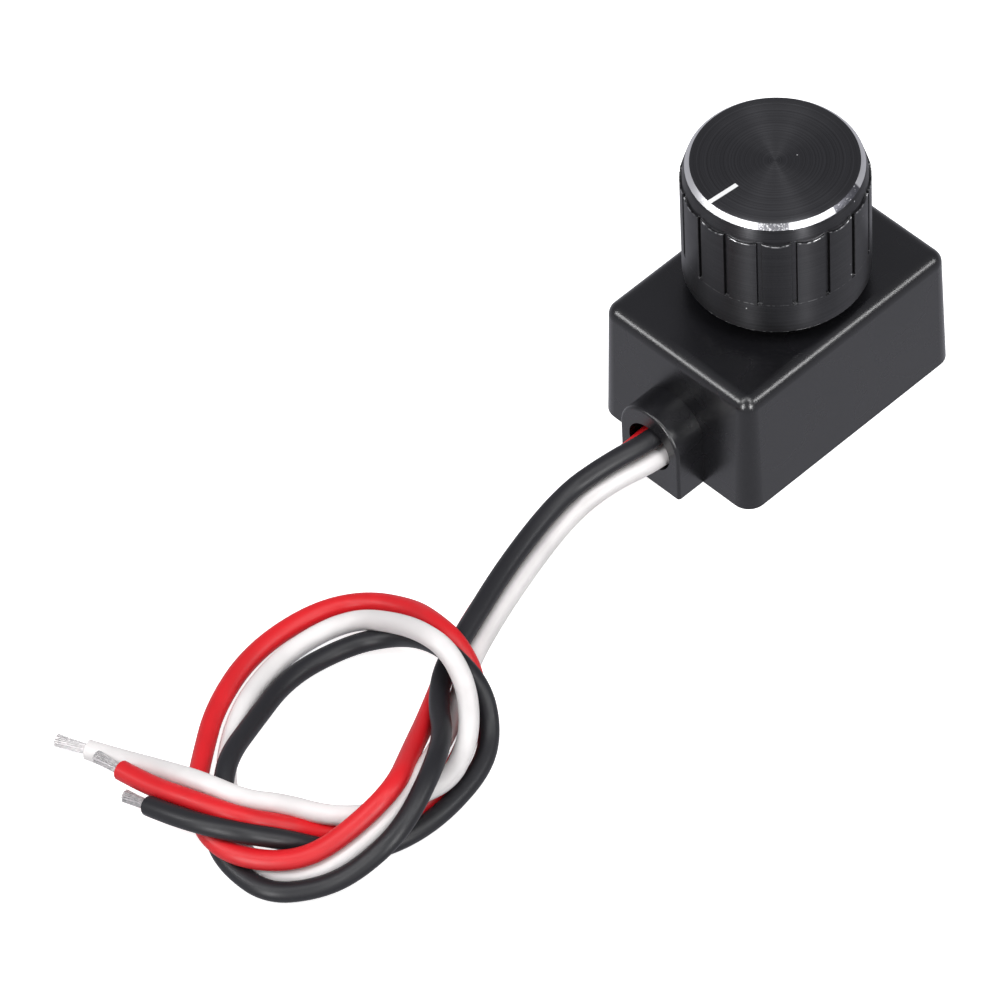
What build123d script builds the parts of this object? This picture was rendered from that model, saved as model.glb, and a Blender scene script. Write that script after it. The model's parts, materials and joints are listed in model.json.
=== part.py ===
from build123d import *
import math
import os

os.makedirs("parts", exist_ok=True)

# Rotary dimmer switch in a small in-line box, in millimetres.
# +Z is up, the origin is the middle of the underside, and the wires leave towards -X.

# Box
box_length = 33.0
box_width = 23.4
box_height = 17.1
box_draft = 1.8
box_corner = 2.2
box_edge = 1.6
box_wall = 1.6
top_wall = 1.6

# Cable boss on the -X wall, flat-sided with a half-round top
boss_width = 9.0
boss_reach = 3.8
boss_top = 11.0
boss_edge = 0.35
cable_hole = 6.2
cable_hole_height = 5.6

# Base cover, let into the underside
cover_thickness = 1.4
cover_rim = 0.8
cover_gap = 0.1
rib_height = 1.0
rib_thickness = 0.8

# Knob
knob_x = 0.3
knob_diameter = 21.1
knob_height = 16.6
knob_gap = 2.35
knob_wall = 1.5
knob_roof = 1.7
knob_foot_bevel = 0.25
head_diameter = 20.5
head_band = 0.3
rim_diameter = 19.9
rim_width = 0.55
rim_drop = 0.55
skirt_drop = 2.2
slot_count = 17
slot_width = 0.55
slot_depth = 0.35
slot_length = 9.9
slot_phase = 2.5
shoulder_dip = 0.4
pointer_angle = 174.7
pointer_length = 3.9
pointer_width = 0.55
pointer_depth = 0.1

# Plastic core inside the knob
core_plate = 2.6
core_sleeve = 9.4
core_rib = 1.2
core_lift = 0.6

# Pot: shaft, collar, washer and nut
shaft_diameter = 6.0
shaft_foot = 4.4
shaft_clearance = 0.03
spline_count = 18
spline_depth = 0.25
spline_length = 8.0
shaft_split = 1.0
collar_thread = 7.0
collar_height = 5.0
collar_flange = 9.0
collar_flange_thickness = 1.0
panel_clearance = 0.1
washer_diameter = 12.0
washer_thickness = 0.5
nut_width = 10.0
nut_thickness = 2.0
nut_bevel = 0.3
ring_diameter = 8.2
ring_thickness = 0.5
ring_groove = 0.5
ring_clearance = 0.1
ring_gap = 3.0

# Pot: body, hung from the roof with the board under it
pot_height = 5.8
pot_length = 10.0
pot_width = 11.4
pot_sheet = 0.5
pot_floor = 1.0
pot_bore_gap = 0.1
track_thickness = 0.4
track_width = 1.6
wiper_thickness = 0.25
wiper_lift = 0.15
wiper_contact = 0.1
rotor_thickness = 1.6
rotor_gap = 0.3
pin_pitch = 2.5
pin_width = 0.8
pin_thickness = 0.3
pin_stand = 0.7
pin_inset = 0.7
tab_width = 1.6
joint_gap = 0.1

# Circuit board and what is soldered to it
board_thickness = 1.2
board_gap = 0.6
board_cutback = 2.7
board_corner = 1.0
capacitor_diameter = 5.0
capacitor_length = 8.0
capacitor_x = 10.3
capacitor_lead = 0.5
capacitor_pitch = 2.0
mosfet_body = (6.1, 6.5, 2.3)
mosfet_at = (9.8, 3.6)
chip_body = (4.9, 3.9, 1.5)
chip_x = -0.6
chip_inset = 4.8
chip_lead = (0.4, 1.0, 0.5)
chip_pitch = 1.27
diode_body = (4.5, 3.6, 2.2)
diode_x = 8.8
diode_inset = 3.9
diode_lead = 0.4
resistor_size = (2.0, 1.25, 0.55)
resistor_at = [(3.6, 0.0), (-2.4, -2.0)]
resistor_row_x = -6.0
ceramic_size = (2.0, 1.25, 0.9)
ceramic_at = [(3.6, -2.6)]
ceramic_row_x = -9.6
row_inset = 2.5

# Wires
wire_diameter = 2.3
core_diameter = 1.2
core_tip = 1.5
strip_length = 3.8
tail_length = 2.0
tail_drop = 1.9
solder_foot = 2.4
solder_head = 1.4
solder_length = 1.6

# Levels and places that follow from the sizes above
roof_inside = box_height - top_wall
boss_face = -(box_length / 2 + boss_reach)
boss_radius = boss_width / 2
knob_foot = box_height + knob_gap
knob_top = knob_foot + knob_height
shell_inside = knob_diameter / 2 - knob_wall
shell_roof = knob_top - knob_roof
skirt_top = knob_top - skirt_drop
rim_radius = rim_diameter / 2
dip_half = knob_diameter / 2 * math.tan(math.pi / slot_count) - slot_width / 2
dip_radius = (dip_half**2 + shoulder_dip**2) / (2 * shoulder_dip)
axis = (knob_x, 0)
knob_axis = Axis((knob_x, 0, 0), (0, 0, 1))
knob_section = Plane(origin=(knob_x, 0, 0), x_dir=(1, 0, 0), z_dir=(0, -1, 0))
case_roof = roof_inside - pot_sheet
collar_foot = case_roof - collar_flange_thickness
collar_top = box_height + collar_height
board_top = case_roof - pot_height
board_under = board_top - board_thickness
tail_level = board_under - tail_drop
track_top = board_top + pot_floor + track_thickness
wiper_foot = track_top + wiper_lift
rotor_foot = wiper_foot + wiper_thickness
rotor_top = rotor_foot + rotor_thickness
case_bore = collar_flange / 2 + pot_bore_gap
ring_top = collar_foot - ring_clearance
core_top = shell_roof
core_foot = collar_top + core_lift
shaft_top = core_top - core_plate / 2
board_margin = box_wall + board_gap + board_top * math.tan(math.radians(box_draft))
board_length = box_length - 2 * board_margin - board_cutback
board_width = box_width - 2 * board_margin
board_middle = board_cutback / 2
diode_at = (diode_x, diode_inset - board_width / 2)
chip_at = (chip_x, board_width / 2 - chip_inset)
row_y = board_width / 2 - row_inset
resistor_row = [(resistor_row_x, -row_y), (resistor_row_x, row_y)]
ceramic_row = [(ceramic_row_x, -row_y), (ceramic_row_x, row_y)]
pin_y = -(pot_width / 2 - pin_inset)
pin_places = [(knob_x + i * pin_pitch, pin_y) for i in (-1, 0, 1)]
tab_places = [(knob_x + i * (pot_length + pot_sheet) / 2, 0) for i in (-1, 1)]
strip_taper = -math.degrees(math.atan((core_tip - core_diameter) / 2 / strip_length))

# Each route runs from the board, out of the boss, through the loose knot to the stripped end.
black_route = [
    (-10.5, 0, tail_level),
    (-15, -0.3, 6.9),
    (-20.5, -0.5, 7.2),
    (-26, 1, 6.6),
    (-31.5, 2.6, 4.6),
    (-41.9, 0.6, 3.6),
    (-52, -3, 3.5),
    (-57.5, -5, 3.5),
    (-61.5, -8.5, 4),
    (-65, -13, 5.8),
    (-70.5, -17, 8),
    (-77.5, -19.5, 6.4),
    (-82.9, -17.9, 2.9),
    (-86.6, -15.6, 1.2),
    (-90.8, -12.2, 1.2),
    (-91.1, -6.6, 1.2),
    (-89.4, -2.1, 1.2),
    (-85.4, 0.4, 3.4),
    (-82, 3, 3.8),
    (-76.3, 5.3, 2.4),
    (-68.5, 8, 1.2),
    (-61, 6.5, 1.2),
    (-57.3, 3, 2.6),
    (-56.9, -1.8, 5.8),
    (-57, -6, 7),
    (-57, -10.8, 5.2),
    (-58.8, -13.9, 2),
    (-62.7, -16.5, 1.2),
    (-69.1, -17.8, 1.2),
    (-74.5, -17.6, 1.2),
    (-79, -16, 1.2),
    (-82, -13, 1.3),
    (-86, -9.5, 4),
    (-89.5, -7, 6),
    (-92.5, -1, 5.9),
    (-92.7, 4.1, 4),
]
white_route = [
    (-10.5, -2.8, tail_level),
    (-15, -1.7, 4.8),
    (-20.5, -1.4, 4.6),
    (-27, 0.5, 4.1),
    (-32.5, 1.5, 1.9),
    (-44, -1.5, 1.5),
    (-53.5, -5, 1.4),
    (-58, -8, 1.2),
    (-62.5, -10.5, 1.2),
    (-69.8, -15.1, 6.2),
    (-75, -16.6, 6.3),
    (-79, -16.5, 4.6),
    (-82.5, -15.5, 2.9),
    (-86, -13.5, 1.3),
    (-89.1, -9.8, 1.2),
    (-88.6, -5.4, 1.2),
    (-85.5, -1.5, 1.2),
    (-82.8, 3.2, 1.2),
    (-75.5, 8.5, 1.2),
    (-68, 10.5, 1.2),
    (-61.5, 10, 1.2),
    (-58, 7.5, 2.4),
    (-57.5, 2.5, 5.5),
    (-57.8, -2.3, 8.3),
    (-58.2, -6.8, 9.4),
    (-59, -10.2, 7.6),
    (-60.5, -12.5, 5.3),
    (-63, -14.5, 3.7),
    (-67.5, -16.5, 3.4),
    (-72, -15.5, 3.7),
    (-76.1, -14.2, 3.4),
    (-79.9, -11, 3.5),
    (-83.1, -6.5, 4.9),
    (-86, -4, 5.9),
    (-87.8, 1.2, 6.4),
    (-88.2, 7.9, 3.1),
    (-89.4, 13.1, 1.5),
    (-90.6, 16.3, 1.3),
]
red_route = [
    (-10.5, 2.6, tail_level),
    (-15, 1.8, 5.3),
    (-20, 1.5, 5),
    (-24.6, 2.4, 3.6),
    (-30.1, 4.1, 2),
    (-40.9, 1.7, 1.2),
    (-51.8, -1.7, 1.2),
    (-61.2, -6.8, 1.2),
    (-69, -12, 5.5),
    (-75, -16.1, 8.8),
    (-80.3, -15.4, 6.3),
    (-85.1, -13.7, 4),
    (-88.7, -10.8, 3.5),
    (-91.2, -6.3, 3.6),
    (-90.7, -2, 3.6),
    (-86.9, 3.1, 2.4),
    (-82, 6.5, 1.2),
    (-76.4, 10.9, 1.2),
    (-68.1, 12.6, 1.2),
    (-60.7, 12.8, 1.2),
    (-55.5, 9.5, 1.8),
    (-53.8, 3.2, 4),
    (-54.7, -1.4, 6.1),
    (-54.9, -5, 5.9),
    (-55.4, -8.1, 3),
    (-58.6, -11.3, 1.3),
    (-65, -14.5, 1.2),
    (-71.4, -15.8, 1.2),
    (-76.5, -14.5, 1.2),
    (-80.5, -11.5, 1.2),
    (-84.1, -8.4, 3.6),
    (-88.1, -5.7, 6.2),
    (-90, 0, 6),
    (-90.9, 6, 4.2),
    (-91.1, 10.2, 3.4),
]

routes = [black_route, white_route, red_route]
tail_planes = [Plane(origin=r[0], z_dir=Vector(*r[0]) - Vector(*r[1])) for r in routes]
tail_middles = [plane.origin + plane.z_dir * tail_length / 2 for plane in tail_planes]


def bend_radii(route):
    """The largest bend at each inner point that its two runs leave room for."""
    points = [Vector(*p) for p in route]
    radii = []
    for before, here, after in zip(points, points[1:], points[2:]):
        turn = math.radians((here - before).get_angle(after - here))
        shorter = min((here - before).length, (after - here).length)
        radii.append(0.45 * shorter / math.tan(turn / 2))
    return radii


def report_cord(name, part, path, route):
    """Prints how a wire's tube came out."""
    expected = math.pi * (wire_diameter / 2) ** 2 * path.length
    tightest = min(bend_radii(route))
    share = part.volume / expected
    print(f"{name}: length {path.length:.1f}, tightest bend {tightest:.1f}, volume {share:.4f}")


# Box with its cable boss, open underneath
with BuildPart() as housing:
    with BuildSketch():
        RectangleRounded(box_length, box_width, box_corner)
    extrude(amount=box_height, taper=box_draft)
    fillet(housing.faces().sort_by(Axis.Z)[-1].edges(), box_edge)
    with BuildSketch(Plane.YZ.offset(boss_face)):
        with BuildLine():
            Line((-boss_radius, 0), (boss_radius, 0))
            Line((boss_radius, 0), (boss_radius, boss_top - boss_radius))
            RadiusArc(
                (boss_radius, boss_top - boss_radius),
                (-boss_radius, boss_top - boss_radius),
                -boss_radius,
            )
            Line((-boss_radius, boss_top - boss_radius), (-boss_radius, 0))
        make_face()
    extrude(amount=boss_reach + box_wall)
    with BuildSketch():
        RectangleRounded(box_length - 2 * box_wall, box_width - 2 * box_wall, box_corner - box_wall / 2)
    extrude(amount=roof_inside, taper=box_draft, mode=Mode.SUBTRACT)
    with BuildSketch():
        RectangleRounded(box_length - 2 * cover_rim, box_width - 2 * cover_rim, box_corner - cover_rim / 2)
    extrude(amount=cover_thickness, mode=Mode.SUBTRACT)
    with BuildSketch(Plane.YZ.offset(boss_face)):
        with Locations((0, cable_hole_height)):
            Circle(cable_hole / 2)
    extrude(amount=boss_reach + 3 * box_wall, mode=Mode.SUBTRACT)
    with BuildSketch(Plane.XY.offset(roof_inside)):
        with Locations(axis):
            Circle(collar_thread / 2 + panel_clearance)
    extrude(amount=top_wall, mode=Mode.SUBTRACT)
    boss_outline = housing.faces().sort_by(Axis.X)[0].outer_wire().edges()
    fillet(boss_outline.filter_by(lambda edge: edge.center().Z > 0.1), boss_edge)
housing.part.label = "housing"

# Flat cover with a low rib that keeps it in line
with BuildPart() as base_cover:
    with BuildSketch():
        RectangleRounded(
            box_length - 2 * (cover_rim + cover_gap),
            box_width - 2 * (cover_rim + cover_gap),
            box_corner - cover_rim / 2,
        )
    extrude(amount=cover_thickness)
    with BuildSketch(Plane.XY.offset(cover_thickness)):
        RectangleRounded(
            box_length - 2 * (box_wall + 2 * cover_gap),
            box_width - 2 * (box_wall + 2 * cover_gap),
            box_corner - box_wall / 2,
        )
        Rectangle(
            box_length - 2 * (box_wall + 2 * cover_gap + rib_thickness),
            box_width - 2 * (box_wall + 2 * cover_gap + rib_thickness),
            mode=Mode.SUBTRACT,
        )
    extrude(amount=rib_height)
base_cover.part.label = "base_cover"

# Aluminium knob: slotted skirt, narrower head, bright bevelled rim and a cut pointer line
with BuildPart() as knob_shell:
    with BuildSketch(Plane.XY.offset(knob_foot)):
        with Locations(axis):
            Circle(knob_diameter / 2)
    extrude(amount=skirt_top - knob_foot)
    chamfer(knob_shell.faces().sort_by(Axis.Z)[0].edges(), knob_foot_bevel)
    with Locations((knob_x, 0, skirt_top + dip_radius - shoulder_dip)):
        with PolarLocations(head_diameter / 2, slot_count, slot_phase + 180 / slot_count):
            Cylinder(
                dip_radius,
                knob_diameter - head_diameter,
                rotation=(0, 90, 0),
                align=(Align.CENTER, Align.CENTER, Align.MIN),
                mode=Mode.SUBTRACT,
            )
    with BuildSketch(knob_section):
        with BuildLine():
            Polyline(
                (0, knob_foot + knob_wall),
                (head_diameter / 2, knob_foot + knob_wall),
                (head_diameter / 2, skirt_top + head_band),
                (rim_radius, knob_top - rim_drop),
                (rim_radius - rim_width, knob_top),
                (0, knob_top),
                close=True,
            )
        make_face()
    revolve(axis=knob_axis)
    with BuildSketch(Plane.XY.offset(skirt_top)):
        with Locations(axis):
            with PolarLocations(knob_diameter / 2, slot_count, slot_phase):
                Rectangle(2 * slot_depth, slot_width)
    extrude(amount=-slot_length, mode=Mode.SUBTRACT)
    with BuildSketch(Plane.XY.offset(knob_foot)):
        with Locations(axis):
            Circle(shell_inside)
    extrude(amount=shell_roof - knob_foot, mode=Mode.SUBTRACT)
    with BuildSketch(Plane.XY.offset(knob_top)):
        with Locations(axis):
            with PolarLocations(rim_radius - rim_width - pointer_length / 2, 1, start_angle=pointer_angle):
                SlotOverall(pointer_length, pointer_width)
    extrude(amount=-pointer_depth, mode=Mode.SUBTRACT)
knob_shell.part.label = "knob_shell"

# Core: a plate under the knob's roof and a ribbed sleeve on the splined shaft
with BuildPart() as knob_insert:
    with BuildSketch(Plane.XY.offset(core_top)):
        with Locations(axis):
            Circle(shell_inside)
    extrude(amount=-core_plate)
    with BuildSketch(Plane.XY.offset(core_foot)):
        with Locations(axis):
            Circle(core_sleeve / 2)
            Rectangle(2 * shell_inside - core_rib, core_rib)
            Rectangle(core_rib, 2 * shell_inside - core_rib)
    extrude(amount=core_top - core_plate - core_foot)
    with BuildSketch(Plane.XY.offset(core_foot)):
        with Locations(axis):
            Circle(shaft_diameter / 2)
    extrude(amount=shaft_top - core_foot, mode=Mode.SUBTRACT)
knob_insert.part.label = "knob_insert"

# Splined and split shaft, with a groove for its ring and a stepped foot in the rotor
with BuildPart() as pot_shaft:
    with BuildSketch(Plane.XY.offset(rotor_foot)):
        with Locations(axis):
            Circle(shaft_foot / 2)
    extrude(amount=rotor_thickness)
    with BuildSketch(Plane.XY.offset(rotor_top)):
        with Locations(axis):
            Circle(shaft_diameter / 2)
    extrude(amount=shaft_top - rotor_top)
    with BuildSketch(Plane.XY.offset(ring_top)):
        with Locations(axis):
            Circle(shaft_diameter / 2)
            Circle(shaft_diameter / 2 - ring_groove, mode=Mode.SUBTRACT)
    extrude(amount=-ring_thickness, mode=Mode.SUBTRACT)
    with BuildSketch(Plane.XY.offset(shaft_top)):
        with Locations(axis):
            with PolarLocations(shaft_diameter / 2, spline_count):
                Rectangle(2 * spline_depth, spline_depth)
            Rectangle(shaft_diameter, shaft_split)
    extrude(amount=-spline_length, mode=Mode.SUBTRACT)
pot_shaft.part.label = "pot_shaft"

# Threaded collar, with its flange under the sheet cover
with BuildPart() as pot_collar:
    with BuildSketch(Plane.XY.offset(collar_foot)):
        with Locations(axis):
            Circle(collar_flange / 2)
    extrude(amount=collar_flange_thickness)
    with BuildSketch(Plane.XY.offset(collar_foot)):
        with Locations(axis):
            Circle(collar_thread / 2)
    extrude(amount=collar_top - collar_foot)
    chamfer(pot_collar.faces().sort_by(Axis.Z)[-1].edges(), nut_bevel)
    with BuildSketch(Plane.XY.offset(collar_foot)):
        with Locations(axis):
            Circle(shaft_diameter / 2 + shaft_clearance)
    extrude(amount=collar_top - collar_foot, mode=Mode.SUBTRACT)
pot_collar.part.label = "pot_collar"

with BuildPart() as collar_washer:
    with BuildSketch(Plane.XY.offset(box_height)):
        with Locations(axis):
            Circle(washer_diameter / 2)
            Circle(collar_thread / 2 + panel_clearance, mode=Mode.SUBTRACT)
    extrude(amount=washer_thickness)
collar_washer.part.label = "collar_washer"

with BuildPart() as collar_nut:
    with BuildSketch(Plane.XY.offset(box_height + washer_thickness)):
        with Locations(axis):
            RegularPolygon(nut_width / 2, 6, major_radius=False)
            Circle(collar_thread / 2, mode=Mode.SUBTRACT)
    extrude(amount=nut_thickness)
collar_nut.part.label = "collar_nut"

# Open ring in the shaft's groove, which keeps the shaft from being pulled out
with BuildPart() as shaft_ring:
    with BuildSketch(Plane.XY.offset(ring_top)):
        with Locations(axis):
            Circle(ring_diameter / 2)
            Circle(shaft_diameter / 2 - ring_groove, mode=Mode.SUBTRACT)
            with Locations((ring_diameter / 2, 0)):
                Rectangle(ring_diameter, ring_gap, mode=Mode.SUBTRACT)
    extrude(amount=-ring_thickness)
shaft_ring.part.label = "shaft_ring"

# Folded sheet cover whose two side legs end in tabs through the board
with BuildPart() as pot_cover:
    with BuildSketch(Plane.XY.offset(case_roof)):
        with Locations(axis):
            Rectangle(pot_length + 2 * pot_sheet, pot_width)
            Circle(collar_thread / 2, mode=Mode.SUBTRACT)
    extrude(amount=pot_sheet)
    with BuildSketch(Plane.XY.offset(board_top)):
        with Locations(*tab_places):
            Rectangle(pot_sheet, pot_width)
    extrude(amount=case_roof - board_top)
    with BuildSketch(Plane.XY.offset(board_under - pin_stand)):
        with Locations(*tab_places):
            Rectangle(pot_sheet, tab_width)
    extrude(amount=board_top - board_under + pin_stand)
pot_cover.part.label = "pot_cover"

with BuildPart() as pot_case:
    with BuildSketch(Plane.XY.offset(board_top)):
        with Locations(axis):
            Rectangle(pot_length, pot_width)
    extrude(amount=case_roof - board_top)
    with BuildSketch(Plane.XY.offset(board_top + pot_floor)):
        with Locations(axis):
            Circle(case_bore)
    extrude(amount=case_roof - board_top - pot_floor, mode=Mode.SUBTRACT)
    with BuildSketch(Plane.XY.offset(board_top)):
        with Locations(*pin_places):
            Rectangle(pin_width, pin_thickness)
    extrude(amount=pin_stand, mode=Mode.SUBTRACT)
pot_case.part.label = "pot_case"

with BuildPart() as pot_track:
    with BuildSketch(Plane.XY.offset(board_top + pot_floor)):
        with Locations(axis):
            Circle(case_bore)
            Circle(case_bore - 2 * track_width, mode=Mode.SUBTRACT)
    extrude(amount=track_thickness)
pot_track.part.label = "pot_track"

with BuildPart() as pot_wiper:
    with BuildSketch(Plane.XY.offset(wiper_foot)):
        with Locations(axis):
            Circle(case_bore - rotor_gap)
            Circle(case_bore - rotor_gap - track_width, mode=Mode.SUBTRACT)
    extrude(amount=wiper_thickness)
    with BuildSketch(Plane.XY.offset(wiper_foot)):
        with Locations(axis):
            with PolarLocations(case_bore - rotor_gap - track_width / 2, 2):
                Circle(wiper_contact * 4)
    extrude(amount=-wiper_contact)
pot_wiper.part.label = "pot_wiper"

with BuildPart() as pot_rotor:
    with BuildSketch(Plane.XY.offset(rotor_foot)):
        with Locations(axis):
            Circle(case_bore - rotor_gap)
            Circle(shaft_foot / 2, mode=Mode.SUBTRACT)
    extrude(amount=rotor_thickness)
pot_rotor.part.label = "pot_rotor"

with BuildPart() as pot_terminals:
    with BuildSketch(Plane.XY.offset(board_under - pin_stand)):
        with Locations(*pin_places):
            Rectangle(pin_width, pin_thickness)
    extrude(amount=board_thickness + 2 * pin_stand)
pot_terminals.part.label = "pot_terminals"

# Board, hanging from the pot
with BuildPart() as circuit_board:
    with BuildSketch(Plane.XY.offset(board_under)):
        with Locations((board_middle, 0)):
            RectangleRounded(board_length, board_width, board_corner)
        with Locations(*pin_places):
            Rectangle(pin_width + joint_gap, pin_thickness + joint_gap, mode=Mode.SUBTRACT)
        with Locations(*tab_places):
            Rectangle(pot_sheet + joint_gap, tab_width + joint_gap, mode=Mode.SUBTRACT)
    extrude(amount=board_thickness)
circuit_board.part.label = "circuit_board"

# Smoothing capacitor lying on the board, with its two leads down to it
with BuildPart() as electrolytic_capacitor:
    with BuildSketch(Plane.XZ.offset(-capacitor_length / 2)):
        with Locations((capacitor_x, board_top + capacitor_diameter / 2)):
            Circle(capacitor_diameter / 2)
    extrude(amount=capacitor_length)
    with BuildSketch(Plane.XY.offset(board_top)):
        with Locations((capacitor_x, -capacitor_length / 2 - capacitor_lead)):
            with GridLocations(capacitor_pitch, 1, 2, 1):
                Rectangle(capacitor_lead, capacitor_lead)
    extrude(amount=capacitor_diameter / 2 + capacitor_lead / 2)
    with BuildSketch(Plane.XZ.offset(capacitor_length / 2)):
        with Locations((capacitor_x, board_top + capacitor_diameter / 2)):
            with GridLocations(capacitor_pitch, 1, 2, 1):
                Rectangle(capacitor_lead, capacitor_lead)
    extrude(amount=capacitor_lead)
electrolytic_capacitor.part.label = "electrolytic_capacitor"

# Parts soldered under the board
with BuildPart() as mosfet:
    with BuildSketch(Plane.XY.offset(board_under)):
        with Locations(mosfet_at):
            Rectangle(mosfet_body[0], mosfet_body[1])
    extrude(amount=-mosfet_body[2])
mosfet.part.label = "mosfet"

with BuildPart() as timer_chip:
    with BuildSketch(Plane.XY.offset(board_under - chip_lead[2] / 2)):
        with Locations(chip_at):
            Rectangle(chip_body[0], chip_body[1])
    extrude(amount=-chip_body[2])
    with BuildSketch(Plane.XY.offset(board_under)):
        with Locations(chip_at):
            with GridLocations(chip_pitch, chip_body[1] + chip_lead[1] / 2, 4, 2):
                Rectangle(chip_lead[0], chip_lead[1])
    extrude(amount=-chip_lead[2])
timer_chip.part.label = "timer_chip"

with BuildPart() as flyback_diode:
    with BuildSketch(Plane.XY.offset(board_under)):
        with Locations(diode_at):
            Rectangle(diode_body[0], diode_body[1])
    extrude(amount=-diode_body[2])
    with BuildSketch(Plane.XY.offset(board_under)):
        with Locations(diode_at):
            Rectangle(diode_body[0] + 2 * diode_lead, diode_body[1] / 2)
    extrude(amount=-diode_lead)
flyback_diode.part.label = "flyback_diode"

with BuildPart() as chip_resistors:
    with BuildSketch(Plane.XY.offset(board_under)):
        with Locations(*resistor_at, *resistor_row):
            Rectangle(resistor_size[0], resistor_size[1])
    extrude(amount=-resistor_size[2])
chip_resistors.part.label = "chip_resistors"

with BuildPart() as chip_capacitors:
    with BuildSketch(Plane.XY.offset(board_under)):
        with Locations(*ceramic_at, *ceramic_row):
            Rectangle(ceramic_size[0], ceramic_size[1])
    extrude(amount=-ceramic_size[2])
chip_capacitors.part.label = "chip_capacitors"

# Bare inner ends of the wires, soldered to the board's underside
with BuildPart() as wire_tails:
    for tail_plane in tail_planes:
        with BuildSketch(tail_plane):
            Circle(core_diameter / 2)
        extrude(amount=tail_length)
wire_tails.part.label = "wire_tails"

with BuildPart() as solder_joints:
    for x, y, z in tail_middles:
        with BuildSketch(Plane.XY.offset(board_under)):
            with Locations((x, y)):
                Rectangle(solder_length, solder_foot)
        with BuildSketch(Plane.XY.offset(z)):
            with Locations((x, y)):
                Rectangle(solder_length, solder_head)
        loft()
    add(wire_tails.part, mode=Mode.SUBTRACT)
solder_joints.part.label = "solder_joints"

# The three wires, each a tube along straight runs joined by arcs
with BuildPart() as wire_black:
    with BuildLine() as black_path:
        FilletPolyline(*black_route, radius=bend_radii(black_route))
    with BuildSketch(Plane(origin=black_path.line @ 0, z_dir=black_path.line % 0)):
        Circle(wire_diameter / 2)
    sweep(path=black_path.line)
wire_black.part.label = "wire_black"

with BuildPart() as wire_white:
    with BuildLine() as white_path:
        FilletPolyline(*white_route, radius=bend_radii(white_route))
    with BuildSketch(Plane(origin=white_path.line @ 0, z_dir=white_path.line % 0)):
        Circle(wire_diameter / 2)
    sweep(path=white_path.line)
wire_white.part.label = "wire_white"

with BuildPart() as wire_red:
    with BuildLine() as red_path:
        FilletPolyline(*red_route, radius=bend_radii(red_route))
    with BuildSketch(Plane(origin=red_path.line @ 0, z_dir=red_path.line % 0)):
        Circle(wire_diameter / 2)
    sweep(path=red_path.line)
wire_red.part.label = "wire_red"

# Stripped and tinned ends, spread a little at the tip
with BuildPart() as wire_end_black:
    with BuildSketch(Plane(origin=black_path.line @ 1, z_dir=black_path.line % 1)):
        Circle(core_diameter / 2)
    extrude(amount=strip_length, taper=strip_taper)
wire_end_black.part.label = "wire_end_black"

with BuildPart() as wire_end_white:
    with BuildSketch(Plane(origin=white_path.line @ 1, z_dir=white_path.line % 1)):
        Circle(core_diameter / 2)
    extrude(amount=strip_length, taper=strip_taper)
wire_end_white.part.label = "wire_end_white"

with BuildPart() as wire_end_red:
    with BuildSketch(Plane(origin=red_path.line @ 1, z_dir=red_path.line % 1)):
        Circle(core_diameter / 2)
    extrude(amount=strip_length, taper=strip_taper)
wire_end_red.part.label = "wire_end_red"

report_cord("black wire", wire_black.part, black_path.wire(), black_route)
report_cord("white wire", wire_white.part, white_path.wire(), white_route)
report_cord("red wire", wire_red.part, red_path.wire(), red_route)

export_step(housing.part, "parts/housing.step")
export_step(base_cover.part, "parts/base_cover.step")
export_step(knob_shell.part, "parts/knob_shell.step")
export_step(knob_insert.part, "parts/knob_insert.step")
export_step(pot_shaft.part, "parts/pot_shaft.step")
export_step(pot_collar.part, "parts/pot_collar.step")
export_step(collar_washer.part, "parts/collar_washer.step")
export_step(collar_nut.part, "parts/collar_nut.step")
export_step(shaft_ring.part, "parts/shaft_ring.step")
export_step(pot_cover.part, "parts/pot_cover.step")
export_step(pot_case.part, "parts/pot_case.step")
export_step(pot_track.part, "parts/pot_track.step")
export_step(pot_wiper.part, "parts/pot_wiper.step")
export_step(pot_rotor.part, "parts/pot_rotor.step")
export_step(pot_terminals.part, "parts/pot_terminals.step")
export_step(circuit_board.part, "parts/circuit_board.step")
export_step(electrolytic_capacitor.part, "parts/electrolytic_capacitor.step")
export_step(mosfet.part, "parts/mosfet.step")
export_step(timer_chip.part, "parts/timer_chip.step")
export_step(flyback_diode.part, "parts/flyback_diode.step")
export_step(chip_resistors.part, "parts/chip_resistors.step")
export_step(chip_capacitors.part, "parts/chip_capacitors.step")
export_step(wire_tails.part, "parts/wire_tails.step")
export_step(solder_joints.part, "parts/solder_joints.step")
export_step(wire_black.part, "parts/wire_black.step")
export_step(wire_white.part, "parts/wire_white.step")
export_step(wire_red.part, "parts/wire_red.step")
export_step(wire_end_black.part, "parts/wire_end_black.step")
export_step(wire_end_white.part, "parts/wire_end_white.step")
export_step(wire_end_red.part, "parts/wire_end_red.step")
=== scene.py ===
import bmesh
import bpy
import json
import math
import numpy as np
from mathutils import Matrix, Vector

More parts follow.
